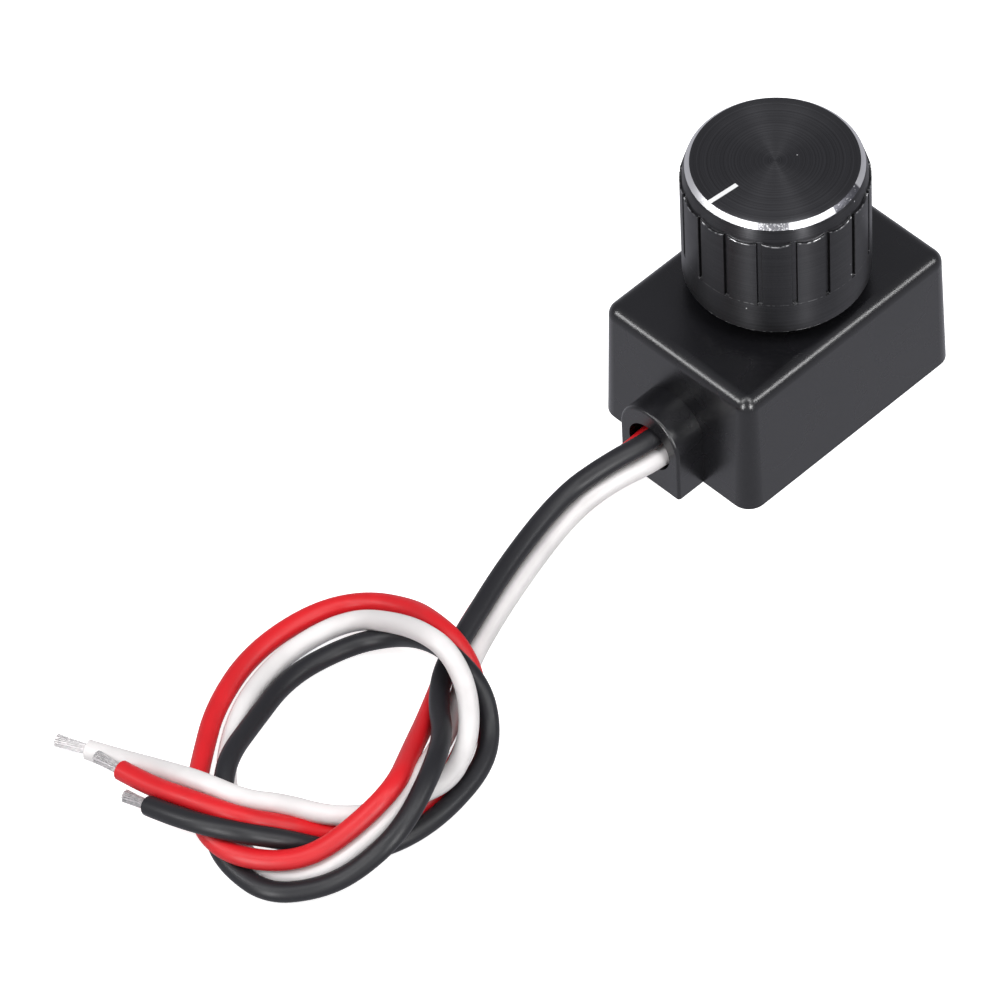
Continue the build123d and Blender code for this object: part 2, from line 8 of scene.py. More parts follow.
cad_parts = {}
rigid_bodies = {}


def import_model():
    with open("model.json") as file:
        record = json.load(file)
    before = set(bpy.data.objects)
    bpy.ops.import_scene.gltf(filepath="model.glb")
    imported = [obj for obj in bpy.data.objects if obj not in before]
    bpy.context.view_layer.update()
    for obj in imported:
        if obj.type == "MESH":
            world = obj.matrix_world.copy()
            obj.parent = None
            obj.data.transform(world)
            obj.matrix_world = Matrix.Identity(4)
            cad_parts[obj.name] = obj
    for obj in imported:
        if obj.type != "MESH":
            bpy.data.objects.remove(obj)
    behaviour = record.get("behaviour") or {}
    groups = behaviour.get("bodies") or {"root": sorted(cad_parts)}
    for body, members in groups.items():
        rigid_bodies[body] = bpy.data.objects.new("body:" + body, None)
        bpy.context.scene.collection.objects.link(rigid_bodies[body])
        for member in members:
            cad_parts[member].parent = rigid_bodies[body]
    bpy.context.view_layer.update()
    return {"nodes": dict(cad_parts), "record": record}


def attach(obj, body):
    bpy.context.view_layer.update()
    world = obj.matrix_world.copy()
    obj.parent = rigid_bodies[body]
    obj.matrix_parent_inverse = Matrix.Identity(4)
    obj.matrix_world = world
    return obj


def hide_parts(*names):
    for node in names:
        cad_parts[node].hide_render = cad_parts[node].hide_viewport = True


for leftover in list(bpy.data.objects):
    bpy.data.objects.remove(leftover)

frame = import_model()
mm = 0.001
print("frame loaded,", len(frame["nodes"]), "nodes")


# Camera at the photograph's place: looking down on the boss's corner of the box.
camera = {
    "turn": -42.162, "rise": 49.305, "roll": -3.306,  # degrees
    "distance": 944.63, "right": -31.17, "up": -13.465,  # mm, the aim is measured across the view
    "lens": 302.5, "sensor": 36,
}
turn, rise, roll = (math.radians(camera[k]) for k in ("turn", "rise", "roll"))
viewBack = Vector((math.sin(turn) * math.cos(rise), -math.cos(turn) * math.cos(rise), math.sin(rise)))
levelRight = Vector((math.cos(turn), math.sin(turn), 0))
levelUp = viewBack.cross(levelRight)
viewRight = levelRight * math.cos(roll) + levelUp * math.sin(roll)
viewUp = levelUp * math.cos(roll) - levelRight * math.sin(roll)
cameraData = bpy.data.cameras.new("camera")
cameraData.lens = camera["lens"]
cameraData.sensor_width = camera["sensor"]
cameraObject = bpy.data.objects.new("camera", cameraData)
bpy.context.scene.collection.objects.link(cameraObject)
cameraPlace = (viewRight * camera["right"] + viewUp * camera["up"] + viewBack * camera["distance"]) * mm
cameraTurn = Matrix((viewRight, viewUp, viewBack)).transposed().to_4x4()
cameraObject.matrix_world = Matrix.Translation(cameraPlace) @ cameraTurn
bpy.context.scene.camera = cameraObject


# A shader value that takes part in plain arithmetic.
class Amount:
    def __init__(self, paint, socket):
        self.paint = paint
        self.socket = socket

    def sum(self, operation, *others):
        return self.paint.node("Math", {"operation": operation}, [self, *others])

    def __add__(self, other):
        return self.sum("ADD", other)

    def __sub__(self, other):
        return self.sum("SUBTRACT", other)

    def __rsub__(self, other):
        return self.paint.node("Math", {"operation": "SUBTRACT"}, [other, self])

    def __mul__(self, other):
        return self.sum("MULTIPLY", other)

    def __truediv__(self, other):
        return self.sum("DIVIDE", other)

    def __pow__(self, other):
        return self.sum("POWER", other)

    def __abs__(self):
        return self.sum("ABSOLUTE")

    __radd__ = __add__
    __rmul__ = __mul__

    def step(self, low, high):  # 0 below low and 1 above high, with a soft change between
        inputs = {"Value": self, "From Min": low, "From Max": high}
        return self.paint.node("MapRange", {"interpolation_type": "SMOOTHSTEP"}, inputs)


# One material and the nodes in it.
class Paint:
    def __init__(self, name):
        self.material = bpy.data.materials.new(name)
        self.material.use_nodes = True
        self.tree = self.material.node_tree
        self.tree.nodes.clear()

    def node(self, kind, settings=None, inputs=None, output=0):
        made = self.tree.nodes.new("ShaderNode" + kind)
        for name, value in (settings or {}).items():
            setattr(made, name, value)
        pairs = inputs.items() if isinstance(inputs, dict) else enumerate(inputs or [])
        for name, value in pairs:
            if isinstance(value, Amount):
                self.tree.links.new(value.socket, made.inputs[name])
            else:
                made.inputs[name].default_value = value
        return Amount(self, made.outputs[output] if len(made.outputs) else None)

    def place(self):  # object coordinates, which are the row's own frame in metres
        return self.node("TexCoord", output="Object")

    def shifted(self, centre):
        return self.node("VectorMath", {"operation": "SUBTRACT"}, [self.place(), centre])

    def parts(self, vector):
        split = self.node("SeparateXYZ", {}, [vector])
        sockets = split.socket.node.outputs
        return [Amount(self, sockets[i]) for i in range(3)]

    def noise(self, size, detail=2.0, rough=0.5):  # size is a feature's width in metres
        inputs = {"Vector": self.place(), "Scale": 1 / size, "Detail": detail, "Roughness": rough}
        return self.node("TexNoise", {}, inputs)

    def specks(self, spacing, size, share):  # small round grains in a share of the cells
        inputs = {"Vector": self.place(), "Scale": 1 / spacing}
        cell = self.node("TexVoronoi", {}, inputs)
        colour = Amount(self, cell.socket.node.outputs["Color"])
        chance = self.node("SeparateColor", {}, [colour])
        return (1 - cell.step(0.6 * size / spacing, size / spacing)) * chance.step(1 - share, 1 - 0.8 * share)

    def mix(self, amount, first, second):
        settings = {"data_type": "RGBA", "clamp_factor": True}
        return self.node("Mix", settings, {0: amount, 6: first, 7: second}, output=2)

    def bump(self, height, depth, strength):
        return self.node("Bump", {}, {"Height": height, "Distance": depth, "Strength": strength})

    def finish(self, inputs):
        shader = self.node("BsdfPrincipled", {}, inputs)
        self.node("OutputMaterial", {}, {"Surface": shader})
        return self.material


def rgb(*colour):
    return (*colour, 1.0)


# The three wires. Each route runs from the board, out of the boss and through the knot to the stripped end.
wires = {  # in mm, as the routes are
    "diameter": 2.3,
    "mouth": (-20.3, 0, 5.6),  # the middle of the hole in the boss
}
wireLooks = {
    "wire_black": {
        "length": 205, "gloss": 0.28, "colour": rgb(0.014, 0.014, 0.017),
        "dust": rgb(0.3, 0.3, 0.31), "share": 0.05,
    },
    "wire_white": {
        "length": 206, "gloss": 0.45, "colour": rgb(0.80, 0.775, 0.775),
        "dust": rgb(0.6, 0.57, 0.56), "share": 0.02,
    },
    "wire_red": {
        "length": 212, "gloss": 0.28, "colour": rgb(0.66, 0.010, 0.016),
        "dust": rgb(0.8, 0.25, 0.25), "share": 0.03,
    },
}
wireRoutes = {
    "wire_black": [
        (-10.5, 0, 6.1), (-15, -0.3, 6.9), (-20.5, -0.5, 7.2), (-26, 1, 6.6), (-31.5, 2.6, 4.6),
        (-41.9, 0.6, 3.6), (-52, -3, 3.5), (-57.5, -5, 3.5), (-61.5, -8.5, 4), (-65, -13, 5.8),
        (-70.5, -17, 8), (-77.5, -19.5, 6.4), (-82.9, -17.9, 2.9), (-86.6, -15.6, 1.2), (-90.8, -12.2, 1.2),
        (-91.1, -6.6, 1.2), (-89.4, -2.1, 1.2), (-85.4, 0.4, 3.4), (-82, 3, 3.8), (-76.3, 5.3, 2.4),
        (-68.5, 8, 1.2), (-61, 6.5, 1.2), (-57.3, 3, 2.6), (-56.9, -1.8, 5.8), (-57, -6, 7),
        (-57, -10.8, 5.2), (-58.8, -13.9, 2), (-62.7, -16.5, 1.2), (-69.1, -17.8, 1.2), (-74.5, -17.6, 1.2),
        (-79, -16, 1.2), (-82, -13, 1.3), (-86, -9.5, 4), (-89.5, -7, 6), (-92.5, -1, 5.9), (-92.7, 4.1, 4),
    ],
    "wire_white": [
        (-10.5, -2.8, 6.1), (-15, -1.7, 4.8), (-20.5, -1.4, 4.6), (-27, 0.5, 4.1), (-32.5, 1.5, 1.9),
        (-44, -1.5, 1.5), (-53.5, -5, 1.4), (-58, -8, 1.2), (-62.5, -10.5, 1.2), (-69.8, -15.1, 6.2),
        (-75, -16.6, 6.3), (-79, -16.5, 4.6), (-82.5, -15.5, 2.9), (-86, -13.5, 1.3), (-89.1, -9.8, 1.2),
        (-88.6, -5.4, 1.2), (-85.5, -1.5, 1.2), (-82.8, 3.2, 1.2), (-75.5, 8.5, 1.2), (-68, 10.5, 1.2),
        (-61.5, 10, 1.2), (-58, 7.5, 2.4), (-57.5, 2.5, 5.5), (-57.8, -2.3, 8.3), (-58.2, -6.8, 9.4),
        (-59, -10.2, 7.6), (-60.5, -12.5, 5.3), (-63, -14.5, 3.7), (-67.5, -16.5, 3.4), (-72, -15.5, 3.7),
        (-76.1, -14.2, 3.4), (-79.9, -11, 3.5), (-83.1, -6.5, 4.9), (-86, -4, 5.9), (-87.8, 1.2, 6.4),
        (-88.2, 7.9, 3.1), (-89.4, 13.1, 1.5), (-90.6, 16.3, 1.3),
    ],
    "wire_red": [
        (-10.5, 2.6, 6.1), (-15, 1.8, 5.3), (-20, 1.5, 5), (-24.6, 2.4, 3.6), (-30.1, 4.1, 2),
        (-40.9, 1.7, 1.2), (-51.8, -1.7, 1.2), (-61.2, -6.8, 1.2), (-69, -12, 5.5), (-75, -16.1, 8.8),
        (-80.3, -15.4, 6.3), (-85.1, -13.7, 4), (-88.7, -10.8, 3.5), (-91.2, -6.3, 3.6), (-90.7, -2, 3.6),
        (-86.9, 3.1, 2.4), (-82.3, 6.9, 1.2), (-77, 10.6, 1.2), (-69.2, 13.3, 1.2), (-60.7, 12.8, 1.2),
        (-55.5, 9.5, 1.8), (-53.8, 3.2, 4), (-54.7, -1.4, 6.1), (-54.9, -5, 5.9), (-55.4, -8.1, 3),
        (-58.6, -11.3, 1.3), (-65, -14.5, 1.2), (-71.4, -15.8, 1.2), (-76.5, -14.5, 1.2),
        (-80.5, -11.5, 1.2), (-84.1, -8.4, 3.6), (-88.1, -5.7, 6.2), (-90, 0, 6), (-90.9, 6, 4.2),
        (-91.1, 10.2, 3.4),
    ],
}


def siliconePaint(name, look):
    paint = Paint(name)
    cloud = paint.noise(9 * mm, 3)
    pore = paint.noise(0.12 * mm, 2)
    dust = paint.specks(1.1 * mm, 0.07 * mm, look["share"])
    shade = tuple(0.86 * c for c in look["colour"][:3]) + (1.0,)
    colour = paint.mix(cloud.step(0.35, 0.65), shade, look["colour"])
    height = pore * 0.5 + cloud
    return paint.finish({
        "Base Color": paint.mix(dust, colour, look["dust"]),
        "Roughness": 0.40 + cloud * 0.08,
        "Normal": paint.bump(height, 0.02 * mm, 0.6),
        "Specular IOR Level": look["gloss"],
    })


def wirePiece(name, look):
    points = np.ones((len(wireRoutes[name]), 4))
    points[:, :3] = np.array(wireRoutes[name]) * mm
    curve = bpy.data.curves.new(name + "_tube", "CURVE")
    curve.dimensions = "3D"
    spline = curve.splines.new("NURBS")
    spline.points.add(len(points) - 1)
    spline.points.foreach_set("co", points.ravel())
    spline.order_u = 3
    spline.use_endpoint_u = True
    spline.resolution_u = 10
    curve.bevel_depth = wires["diameter"] / 2 * mm
    curve.bevel_resolution = 6
    curve.use_fill_caps = True
    piece = bpy.data.objects.new(name + "_tube", curve)
    bpy.context.scene.collection.objects.link(piece)
    curve.materials.append(siliconePaint(name + "_silicone", look))
    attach(piece, "box")
    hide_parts(name)
    return piece


def gridMesh(name, points, closed=(False, False)):
    # points is a rows by columns by 3 array; each cell of the grid becomes one four-sided face
    rows, columns = points.shape[:2]
    index = np.arange(rows * columns).reshape(rows, columns)
    if closed[0]:
        index = np.concatenate([index, index[:1]], axis=0)
    if closed[1]:
        index = np.concatenate([index, index[:, :1]], axis=1)
    faces = np.stack([index[:-1, :-1], index[:-1, 1:], index[1:, 1:], index[1:, :-1]], axis=-1).reshape(-1, 4)
    mesh = bpy.data.meshes.new(name)
    mesh.from_pydata(points.reshape(-1, 3), [], faces)
    return mesh


def weld(mesh):
    # joins the points that lie on each other, as at a pole or a seam, and turns every face outwards
    work = bmesh.new()
    work.from_mesh(mesh)
    bmesh.ops.remove_doubles(work, verts=work.verts, dist=1e-7)
    bmesh.ops.recalc_face_normals(work, faces=work.faces)
    work.to_mesh(mesh)
    work.free()


def pieceOf(mesh, name, body, nodes):
    piece = bpy.data.objects.new(name, mesh)
    bpy.context.scene.collection.objects.link(piece)
    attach(piece, body)
    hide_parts(*nodes)
    return piece


# Stripped ends: bundles of tinned strands, twisted a little, opening towards a flat cut.
strands = {
    "count": 73, "thickness": 0.15, "core": 0.52, "tip": 0.71, "length": 3.8, "twist": 0.35,
    "sides": 8, "rings": 12, "ragged": 0.05, "seed": 5,
}


def tinPaint():
    paint = Paint("tinned_strands")
    grain = paint.noise(0.25 * mm, 3)
    streak = paint.noise(0.5 * mm, 1)
    colour = paint.mix(streak.step(0.35, 0.7), rgb(0.42, 0.41, 0.41), rgb(0.54, 0.52, 0.52))
    return paint.finish({
        "Base Color": colour,
        "Metallic": 0.85,
        "Roughness": 0.34 + grain * 0.2,
        "Normal": paint.bump(grain, 0.01 * mm, 0.5),
    })


def strandBundle(name, material, seed):
    # strand k sits at golden-angle place k of a disc; the disc turns and grows along the wire's last
    # direction, and each strand is a round rod whose last ring closes to a point in the plane of the cut
    v = strands
    draw = np.random.default_rng(seed)
    route = np.array(wireRoutes[name], float)
    along = route[-1] - route[-2]
    along /= np.linalg.norm(along)
    side = np.cross(along, (0, 0, 1.0))
    side /= np.linalg.norm(side)
    over = np.cross(side, along)
    k = np.arange(v["count"])
    share = np.sqrt((k + 0.5) / v["count"])
    golden = math.pi * (3 - math.sqrt(5))
    reach = v["length"] + draw.uniform(-v["ragged"], v["ragged"], len(k))
    t = np.append(np.linspace(-0.2, 1, v["rings"] - 1), 1)
    spread = np.clip(t, 0, 1) ** 1.3
    radius = share[:, None] * (v["core"] + (v["tip"] - v["core"]) * spread)
    turned = (k * golden)[:, None] + v["twist"] * t + draw.normal(0, 0.05, (len(k), 1)) * spread
    line = (
        route[-1]
        + along * (reach[:, None] * t)[..., None]
        + side * (radius * np.cos(turned))[..., None]
        + over * (radius * np.sin(turned))[..., None]
    )
    a = np.arange(v["sides"]) * 2 * math.pi / v["sides"]
    circle = side * np.cos(a)[:, None] + over * np.sin(a)[:, None]
    thick = np.full(v["rings"], v["thickness"] / 2)
    thick[-1] = 0
    points = line[:, :, None, :] + circle[None, None] * thick[None, :, None, None]
    index = np.arange(points[..., 0].size).reshape(points.shape[:3])
    after = np.roll(index, -1, axis=2)
    faces = np.stack([index[:, :-1], after[:, :-1], after[:, 1:], index[:, 1:]], axis=-1).reshape(-1, 4)
    mesh = bpy.data.meshes.new(name + "_strands")
    mesh.from_pydata(points.reshape(-1, 3) * mm, [], faces)
    weld(mesh)
    mesh.shade_smooth()
    mesh.set_sharp_from_angle(angle=math.radians(50))
    mesh.materials.append(material)
    endNode = name.replace("wire", "wire_end")
    return pieceOf(mesh, name + "_strands", "box", [endNode])


tin = tinPaint()
for number, (name, look) in enumerate(wireLooks.items()):
    tube = wirePiece(name, look)
    bundle = strandBundle(name, tin, strands["seed"] + number)
    look["length"] * mm
print("wires laid")


# Knob: turned skirt with slots and scooped shoulders, head band, bright bevel and black spun top.
knob = {
    "x": 0.3, "radius": 10.55, "foot": 19.45, "top": 36.05, "inside": 9.05, "roof": 34.35, "skirtTop": 33.85,
    "head": 10.25, "headTop": 34.15, "rimOuter": 9.95, "rimFoot": 35.5, "rimInner": 9.4,
    "slots": 17, "slotPhase": 2.5, "slotWidth": 0.55, "slotDepth": 0.35, "slotLength": 9.9, "slotEdge": 0.04,
    "dip": 0.4, "bevel": 0.25, "round": 0.07,
    "pointerTurn": 174.7, "pointerLength": 3.9, "pointerWidth": 0.55,
    # the top's gain is painted light: it makes the spun top's colour lighter than the side's, standing for
    # the light on the top
    "dark": rgb(0.016, 0.016, 0.0175), "light": rgb(0.034, 0.034, 0.037), "topPaintedLight": 1.6,
    # the bare edge colour is worn metal painted bright enough to stand for the highlights on the edges
    "dust": rgb(0.75, 0.75, 0.75), "bareGlint": rgb(0.75, 0.75, 0.76), "pointer": rgb(0.90, 0.90, 0.90),
    # each painted dark reflection: its direction and half width in degrees, its depth, and the noise value
    # that it starts at
    "darkReflections": ((223, 10, 0.85, 0.34), (279, 13, 1.0, 0.24)),
}


def spunPaint(name, kind):
    # anodised metal with fine turning marks: rings on the top, level lines on the side
    paint = Paint(name)
    v = knob
    x, y, z = paint.parts(paint.shifted((v["x"] * mm, 0, 0)))
    out = (x * x + y * y) ** 0.5
    along = out if kind == "top" else z
    line = paint.node("CombineXYZ", {}, [along * (1 / (0.035 * mm)), paint.noise(6 * mm, 1) * 0.6, 0.0])
    groove = paint.node("TexNoise", {}, {"Vector": line, "Scale": 1.0, "Detail": 1.0, "Roughness": 0.6})
    coarse = paint.noise(1.6 * mm, 2)
    dust = paint.specks(1.3 * mm, 0.10 * mm, 0.16)
    # painted light: the top disc's colours are raised by this gain over the side's
    paintedLightGain = v["topPaintedLight"] if kind == "top" else 1
    dark, light = (rgb(*(paintedLightGain * c for c in v[shade][:3])) for shade in ("dark", "light"))
    colour = paint.mix(groove.step(0.3, 0.75), dark, light)
    inputs = {
        "Metallic": 0.72,
        "Roughness": 0.34 + coarse * 0.06,
        "Anisotropic": 0.85,
        "Anisotropic Rotation": 0.25,
    }
    if kind == "top":
        angle = math.radians(v["pointerTurn"])
        ahead = x * math.cos(angle) + y * math.sin(angle)
        aside = y * math.cos(angle) - x * math.sin(angle)
        half = v["pointerWidth"] / 2 * mm
        inner = (v["rimInner"] - v["pointerLength"]) * mm
        across = 1 - abs(aside).step(half - 0.03 * mm, half + 0.03 * mm)
        pointer = across * ahead.step(inner - 0.05 * mm, inner)
        colour = paint.mix(pointer, colour, v["pointer"])
        height = groove * 0.5 - pointer * 2
        inputs["Metallic"] = 0.72 - pointer * 0.4
        inputs["Roughness"] = inputs["Roughness"] + pointer * 0.1
    else:
        height = groove * 0.5
        # worn bare edges on the foot bevel, slot feet and scooped shoulders, painted bright as a highlight
        edges = paint.node("Attribute", {"attribute_name": "wearAndGlint"}, output="Fac")
        wearAndPaintedLight = edges * paint.noise(0.5 * mm, 3).step(0.42, 0.62)
        colour = paint.mix(wearAndPaintedLight, colour, v["bareGlint"])
    inputs["Base Color"] = paint.mix(dust, colour, v["dust"])
    inputs["Normal"] = paint.bump(height, 0.008 * mm, 0.3)
    return paint.finish(inputs)


def rimPaint():
    # bright turned bevel, with painted dark reflections in two places of its near side
    paint = Paint("rim_cut")
    v = knob
    x, y, z = paint.parts(paint.shifted((v["x"] * mm, 0, 0)))
    out = (x * x + y * y) ** 0.5
    line = paint.node("CombineXYZ", {}, [z * (1 / (0.04 * mm)), 0.0, 0.0])
    groove = paint.node("TexNoise", {}, {"Vector": line, "Scale": 1.0, "Detail": 1.0})
    patchNoise = paint.noise(0.22 * mm, 3)
    wearAndPaintedLight = paint.noise(3.5 * mm, 1).step(0.60, 0.72) * patchNoise.step(0.5, 0.65) * 0.4
    # two dark patches on the near side, painted as reflections in the bevel
    for turned, width, depth, low in v["darkReflections"]:
        middle = math.radians(turned)
        near = (x * math.cos(middle) + y * math.sin(middle)) / out
        edge = math.cos(math.radians(width))
        wearAndPaintedLight = wearAndPaintedLight + near.step(edge - 0.004, edge + 0.003) * patchNoise.step(low, low + 0.16) * depth
    return paint.finish({
        "Base Color": paint.mix(wearAndPaintedLight, rgb(0.54, 0.54, 0.55), rgb(0.07, 0.07, 0.08)),
        "Metallic": 0.85,
        "Roughness": 0.32 + groove * 0.12,
        "Normal": paint.bump(groove, 0.01 * mm, 0.3),
    })


def knobPiece():
    # surface of revolution r(u, t), z(u, t): a profile turned round the axis, where slots press the skirt in
    # and each shoulder between two slots is scooped by an arc
    v = knob
    pitch = 2 * math.pi / v["slots"]
    half = v["slotWidth"] / 2
    edge = v["slotEdge"]
    near = np.array([-half, -0.4 * half, -edge, -edge / 2, 0, edge / 2, edge, 3 * edge]) + half
    far = np.linspace(half + 6 * edge, v["radius"] * pitch / 2, 12)
    offset = np.concatenate([near, far[:-1]])
    offset = np.concatenate([offset, v["radius"] * pitch - offset[:0:-1]]) / v["radius"]
    u = (np.arange(v["slots"])[:, None] * pitch + offset[None]).ravel()
    fromSlot = np.abs((u + pitch / 2) % pitch - pitch / 2) * v["radius"]
    ramp = np.clip((half + edge - fromSlot) / (2 * edge), 0, 1)
    inSlot = ramp * ramp * (3 - 2 * ramp)
    dipHalf = v["radius"] * math.tan(pitch / 2) - half
    dipRadius = (dipHalf ** 2 + v["dip"] ** 2) / (2 * v["dip"])
    fromMiddle = v["radius"] * np.tan(np.clip(pitch / 2 - fromSlot / v["radius"], 0, pitch / 2))
    scoop = np.sqrt(np.clip(dipRadius ** 2 - fromMiddle ** 2, 0, None)) + v["dip"] - dipRadius
    shoulder = v["skirtTop"] - np.clip(scoop, 0, v["dip"])
    slotFoot = v["skirtTop"] - v["slotLength"]
    r0, c, foot, head, inside = v["radius"], v["round"], v["foot"], v["head"], v["inside"]
    # each row of the profile: radius, height, share of the slot's depth, worn edge with painted highlight,
    # paint
    profile = [
        (0, v["roof"], 0, 0, 0),
        (3, v["roof"], 0, 0, 0),
        (inside, v["roof"], 0, 0, 0),
        (inside, foot + 8, 0, 0, 0),
        (inside, foot + 0.2, 0, 0, 0),
        (inside + 0.2, foot, 0, 0, 0),
        (r0 - v["bevel"] - 0.1, foot, 0, 0, 0),
        (r0 - v["bevel"], foot + 0.01, 0, 1, 0),
        (r0 - 0.04, foot + v["bevel"] - 0.03, 0, 1, 0),
        (r0, foot + v["bevel"] + 0.06, 0, 0, 0),
        *[(r0, z, 0, 0, 0) for z in (foot + 1.5, foot + 3, slotFoot - 0.15, slotFoot - 0.05)],
        (r0, slotFoot, 0.5, 0.1, 0),
        (r0, slotFoot + 0.05, 1, 0.1, 0),
        *[(r0, slotFoot + z, 1, 0, 0) for z in (0.15, 2, 4, 6, 8, 9.2)],
        (r0, shoulder - 0.2, 1, 0, 0),
        (r0, shoulder - c, 1, 0.25, 0),
        (r0 - 0.12 * c, shoulder - 0.3 * c, 1, 0.5, 0),
        (r0 - 0.45 * c, shoulder - 0.05 * c, 1, 0.5, 0),
        (r0 - c, shoulder, 1, 0.2, 0),
        (r0 - 2 * c, shoulder, 1, 0, 0),
        (head + 0.03, shoulder, 0, 0, 0),
        (head, shoulder + 0.04, 0, 0, 0),
        (head, v["skirtTop"] + 0.05, 0, 0, 0),
        (head, v["headTop"] - 0.05, 0, 0, 0),
        (head - 0.015, v["headTop"] + 0.05, 0, 0, 0),
        (head - 0.16, v["headTop"] + 0.7, 0, 0, 0),
        (v["rimOuter"] + 0.01, v["rimFoot"] - 0.02, 0, 0, 0),
        (v["rimOuter"], v["rimFoot"], 0, 0, 1),
        (v["rimInner"] + 0.02, v["top"] - 0.02, 0, 0, 1),
        (v["rimInner"], v["top"], 0, 0, 2),
        *[(r, v["top"], 0, 0, 2) for r in (8.5, 7, 5.5, 4, 2.5, 1, 0)],
    ]
    r, z, slot, wearAndGlint = (np.array([np.broadcast_to(line[i], u.shape) for line in profile]) for i in range(4))
    r = np.minimum(r, r0 - v["slotDepth"] * slot * inSlot)
    phase = u + math.radians(v["slotPhase"])
    points = np.stack([v["x"] + r * np.cos(phase), r * np.sin(phase), z], axis=-1) * mm
    mesh = gridMesh("knob_turned", points, closed=(False, True))
    mesh.materials.append(spunPaint("knob_side", "side"))
    mesh.materials.append(rimPaint())
    mesh.materials.append(spunPaint("knob_top", "top"))
    paints = np.array([line[4] for line in profile[:-1]], np.int32)
    mesh.polygons.foreach_set("material_index", np.repeat(paints, len(u)))
    mesh.attributes.new("wearAndGlint", "FLOAT", "POINT").data.foreach_set("value", wearAndGlint.ravel().astype(np.float32))
    weld(mesh)
    mesh.shade_smooth()
    mesh.set_sharp_from_angle(angle=math.radians(50))
    return pieceOf(mesh, "knob_turned", "knob", ["knob_shell"])


knobPiece()
print("knob turned")


# Box: the moulded node itself, in semi-gloss black.
def mouldedPaint(name, look):
    paint = Paint(name)
    cloud = paint.noise(look["cloud"] * mm, 3)
    grain = paint.noise(look["grain"] * mm, 3, rough=0.7)
    dust = paint.specks(2.2 * mm, 0.08 * mm, look["dust"])
    shade = tuple(0.8 * c for c in look["colour"][:3]) + (1.0,)
    colour = paint.mix(cloud.step(0.3, 0.7), shade, look["colour"])
    return paint.finish({
        "Base Color": paint.mix(dust, colour, rgb(0.4, 0.4, 0.42)),
        "Metallic": look["metal"],
        "Roughness": look["rough"] + cloud * 0.06,
        "Normal": paint.bump(grain, look["depth"] * mm, 0.6),
        "Specular IOR Level": look["gloss"],
    })


finishes = {
    "box_plastic": {
        "colour": rgb(0.007, 0.007, 0.0085), "rough": 0.24, "gloss": 0.45, "grain": 0.16, "depth": 0.016,
    },
    "cover_plastic": {"colour": rgb(0.02, 0.02, 0.022), "rough": 0.45, "grain": 0.25},
    "core_plastic": {"colour": rgb(0.05, 0.05, 0.05), "rough": 0.5},
    "shaft_metal": {"colour": rgb(0.70, 0.71, 0.73), "metal": 1.0, "rough": 0.28, "grain": 0.1},
    "collar_metal": {"colour": rgb(0.66, 0.64, 0.60), "metal": 1.0, "rough": 0.25, "grain": 0.2},
    "sheet_steel": {"colour": rgb(0.60, 0.60, 0.62), "metal": 1.0, "rough": 0.32, "grain": 0.3},
    "pot_plastic": {"colour": rgb(0.06, 0.06, 0.065), "rough": 0.5},
    "track_board": {"colour": rgb(0.13, 0.07, 0.04), "rough": 0.45, "grain": 0.4},
    "spring_brass": {"colour": rgb(0.70, 0.52, 0.27), "metal": 1.0, "rough": 0.3},
    "board_laminate": {"colour": rgb(0.02, 0.15, 0.05), "rough": 0.3, "grain": 0.5, "depth": 0.02},
    "capacitor_can": {"colour": rgb(0.05, 0.06, 0.12), "rough": 0.3, "grain": 0.6},
    "chip_resin": {"colour": rgb(0.02, 0.02, 0.02), "rough": 0.55, "grain": 0.12, "depth": 0.01},
    "chip_ceramic": {"colour": rgb(0.45, 0.33, 0.2), "rough": 0.5, "grain": 0.1},
    "tinned_metal": {"colour": rgb(0.66, 0.66, 0.66), "metal": 1.0, "rough": 0.35, "grain": 0.15},
    "solder": {"colour": rgb(0.64, 0.64, 0.65), "metal": 1.0, "rough": 0.22, "grain": 0.4, "depth": 0.02},
    "knob_metal": {"colour": rgb(0.04, 0.04, 0.045), "metal": 0.7, "rough": 0.3},
    "silicone_black": {"colour": wireLooks["wire_black"]["colour"], "rough": 0.42},
    "silicone_white": {"colour": wireLooks["wire_white"]["colour"], "rough": 0.42},
    "silicone_red": {"colour": wireLooks["wire_red"]["colour"], "rough": 0.42},
}
usual = {"metal": 0.0, "gloss": 0.5, "grain": 0.2, "depth": 0.008, "cloud": 8.0, "dust": 0.05}
paints = {name: mouldedPaint(name, {**usual, **look}) for name, look in finishes.items()}
for entry in frame["record"]["subparts"]:
    node = frame["nodes"][entry["node"]]
    node.data.materials.clear()
    node.data.materials.append(paints[entry["material_slot"]])
print("nodes painted")


# Floor, world and lamps: white to the camera and to reflections, plain soft light on the object.
studio = {
    "floor": 1.6, "floorLight": 0.80, "mirrorFloor": 0.72, "worldLight": 0.42, "mirrorSky": 0.42,
    "cool": rgb(0.95, 0.95, 1.04),
    "lamps": {
        "left": {"turn": -99, "rise": 55, "away": 0.8, "size": (0.20, 0.45), "power": 2.6},
        "right": {"turn": -1, "rise": 60, "away": 0.8, "size": (0.18, 0.45), "power": 2.6},
        "above": {"turn": -42, "rise": 82, "away": 0.9, "size": (0.40, 0.40), "power": 1.4},
    },
    "shines": {  # strips of light that only highlights see
        "leftStrip": {"turn": -74, "rise": 16, "away": 0.8, "size": (0.08, 0.45), "power": 5.5},
        "rightStrip": {"turn": -17, "rise": 16, "away": 0.8, "size": (0.08, 0.45), "power": 5.5},
        "leftEdge": {"turn": -122, "rise": 30, "away": 0.8, "size": (0.16, 0.20), "power": 2.2},
        "rightEdge": {"turn": 30, "rise": 32, "away": 0.8, "size": (0.16, 0.20), "power": 2.2},
    },
}


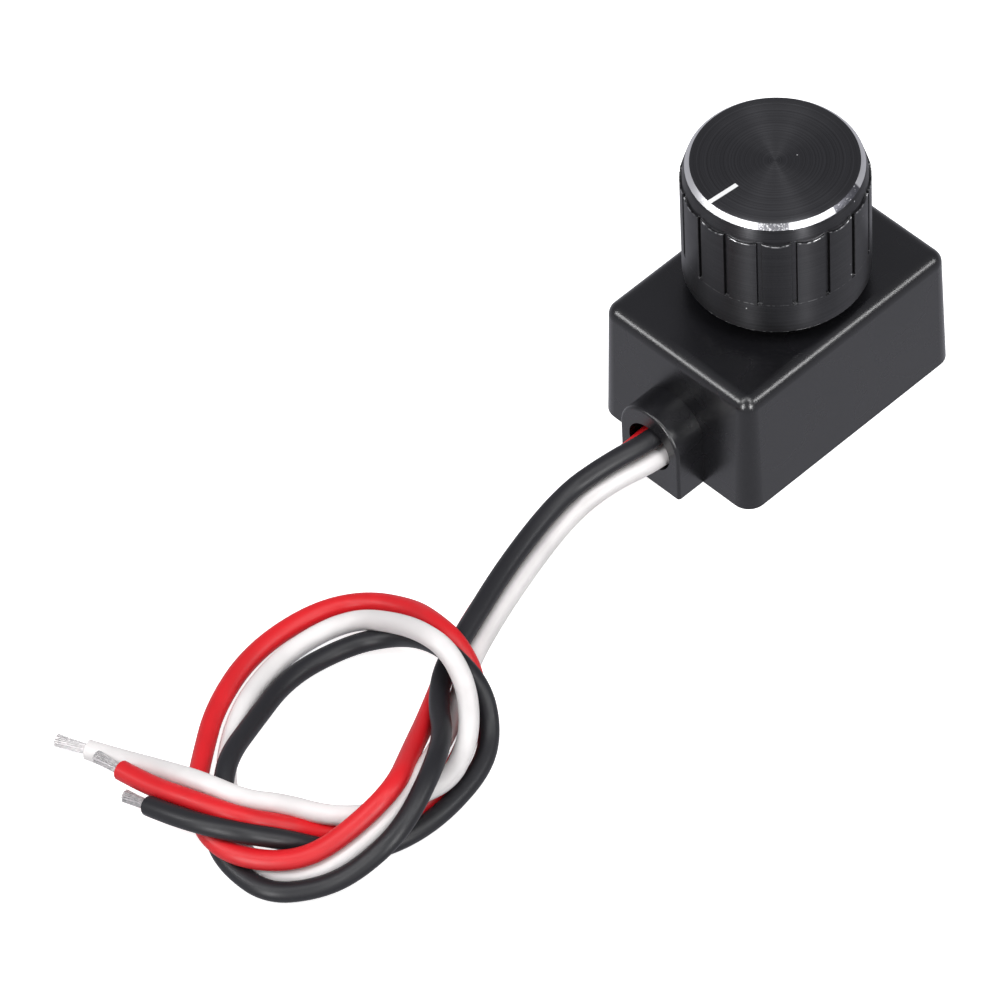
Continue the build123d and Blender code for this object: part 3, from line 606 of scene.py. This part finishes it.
def floorPiece():
    # a square sheet just under the object, brighter to the camera and dimmer in reflections
    half = studio["floor"] / 2
    corner = np.array([-half, half])
    points = np.stack([*np.meshgrid(corner, corner), np.full((2, 2), -0.00002)], axis=-1)
    mesh = gridMesh("floor", points)
    paint = Paint("floor")
    seen = paint.node("LightPath", output="Is Camera Ray")
    mirrored = paint.node("LightPath", output="Is Glossy Ray")
    lit = paint.node("BsdfDiffuse", {}, {"Color": rgb(0.8, 0.8, 0.8)})
    glow = paint.node("Emission", {}, {"Color": rgb(1, 1, 1), "Strength": studio["floorLight"]})
    shine = paint.node("Emission", {}, {"Color": studio["cool"], "Strength": studio["mirrorFloor"]})
    shown = paint.node("MixShader", {}, [seen, lit, paint.node("AddShader", {}, [lit, glow])])
    shown = paint.node("MixShader", {}, [mirrored, shown, shine])
    paint.node("OutputMaterial", {}, {"Surface": shown})
    mesh.materials.append(paint.material)
    floor = bpy.data.objects.new("floor", mesh)
    bpy.context.scene.collection.objects.link(floor)


def lampAt(name, look, shineOnly):
    lamp = bpy.data.lights.new(name, "AREA")
    lamp.shape = "RECTANGLE"
    lamp.size, lamp.size_y = look["size"]
    lamp.energy = look["power"]
    turned, raised = math.radians(look["turn"]), math.radians(look["rise"])
    level = Vector((math.sin(turned), -math.cos(turned), 0)) * math.cos(raised)
    towards = level + Vector((0, 0, math.sin(raised)))
    piece = bpy.data.objects.new(name, lamp)
    bpy.context.scene.collection.objects.link(piece)
    piece.visible_diffuse = not shineOnly
    facing = towards.to_track_quat("Z", "Y").to_matrix().to_4x4()
    piece.matrix_world = Matrix.Translation(towards * look["away"]) @ facing


def worldLight():
    world = bpy.data.worlds.new("studio")
    bpy.context.scene.world = world
    world.use_nodes = True
    tree = world.node_tree
    tree.nodes.clear()
    path = tree.nodes.new("ShaderNodeLightPath")
    plain = tree.nodes.new("ShaderNodeBackground")
    mirror = tree.nodes.new("ShaderNodeBackground")
    white = tree.nodes.new("ShaderNodeBackground")
    unseen = tree.nodes.new("ShaderNodeMixShader")
    shown = tree.nodes.new("ShaderNodeMixShader")
    out = tree.nodes.new("ShaderNodeOutputWorld")
    plain.inputs["Strength"].default_value = studio["worldLight"]
    mirror.inputs["Strength"].default_value = studio["mirrorSky"]
    mirror.inputs["Color"].default_value = studio["cool"]
    white.inputs["Color"].default_value = rgb(1, 1, 1)
    plain.inputs["Color"].default_value = rgb(1, 1, 1)
    tree.links.new(path.outputs["Is Glossy Ray"], unseen.inputs[0])
    tree.links.new(plain.outputs[0], unseen.inputs[1])
    tree.links.new(mirror.outputs[0], unseen.inputs[2])
    tree.links.new(path.outputs["Is Camera Ray"], shown.inputs[0])
    tree.links.new(unseen.outputs[0], shown.inputs[1])
    tree.links.new(white.outputs[0], shown.inputs[2])
    tree.links.new(shown.outputs[0], out.inputs["Surface"])


floorPiece()
worldLight()
for name, look in studio["lamps"].items():
    lampAt(name, look, False)
for name, look in studio["shines"].items():
    lampAt(name, look, True)
bpy.context.scene.view_settings.view_transform = "Standard"
print("studio lit")
